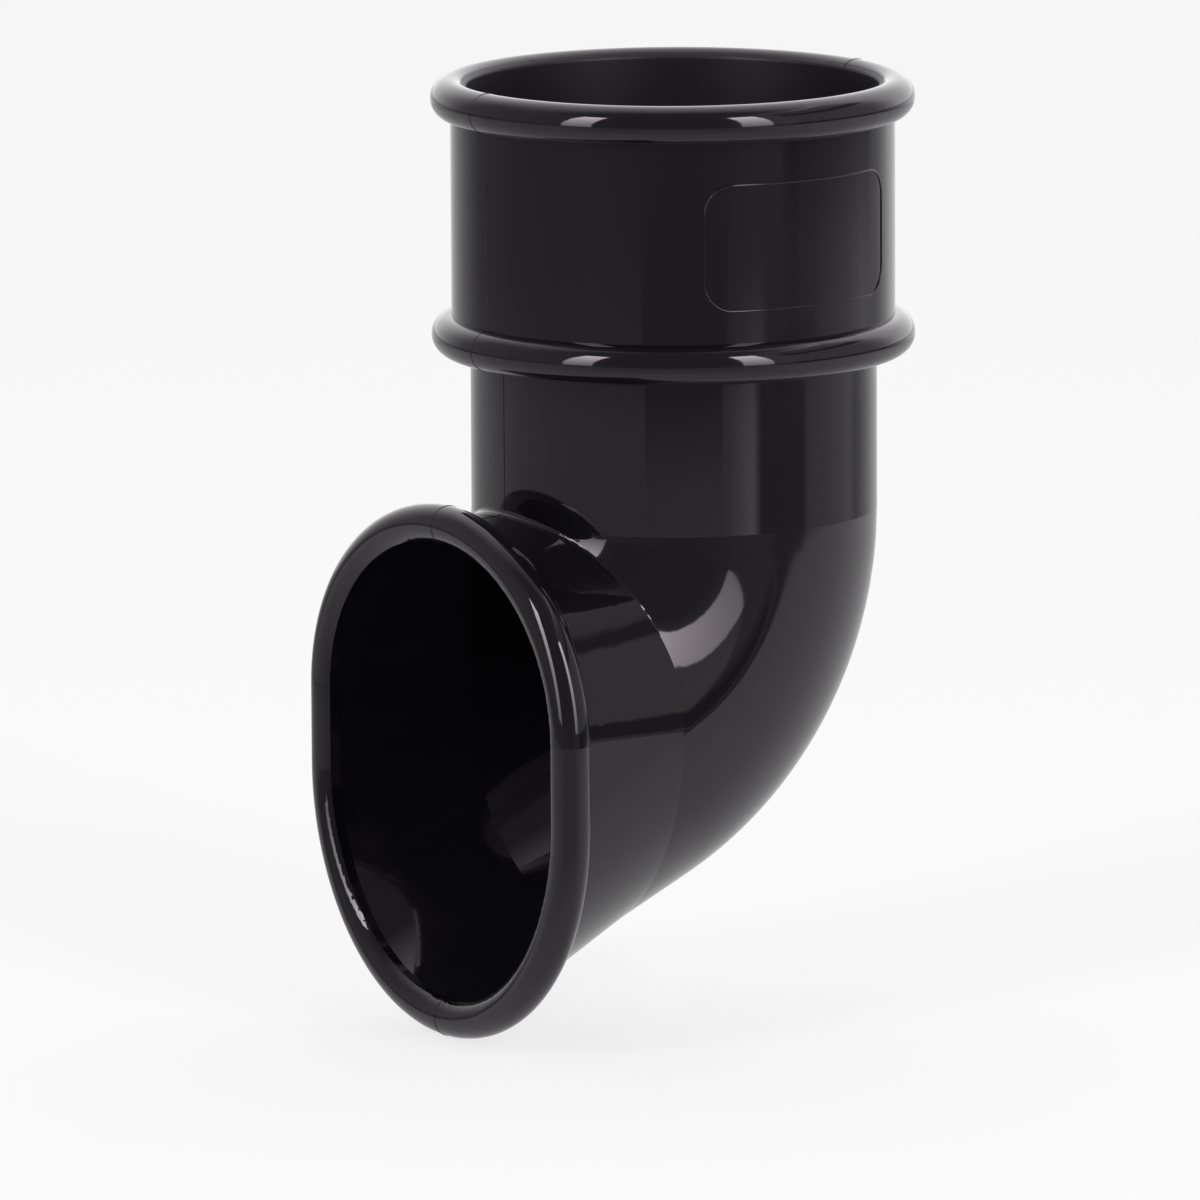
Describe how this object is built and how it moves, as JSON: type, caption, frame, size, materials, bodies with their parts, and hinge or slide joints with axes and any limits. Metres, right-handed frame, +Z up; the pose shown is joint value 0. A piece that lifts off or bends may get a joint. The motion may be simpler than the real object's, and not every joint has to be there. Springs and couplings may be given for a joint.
{
  "type": "downpipe shoe",
  "caption": "One-piece push-fit shoe for the foot of a round rainwater downpipe: a beaded socket over an elbow that flares forward to an upright oval mouth.",
  "frame": {"origin": "centre of the socket's stop shoulder, level with the middle of the foot bead, where the end of the downpipe seats", "axes": "+Z up along the downpipe, the mouth opens towards -Y, and the shoe is the same on both sides of the YZ plane"},
  "size_m": [0.0594, 0.0654, 0.116],
  "materials": {
    "shoe": "gloss black moulded PVC-U"
  },
  "bodies": {
    "root": {"shoe": "shoe"}
  },
  "joints": []
}
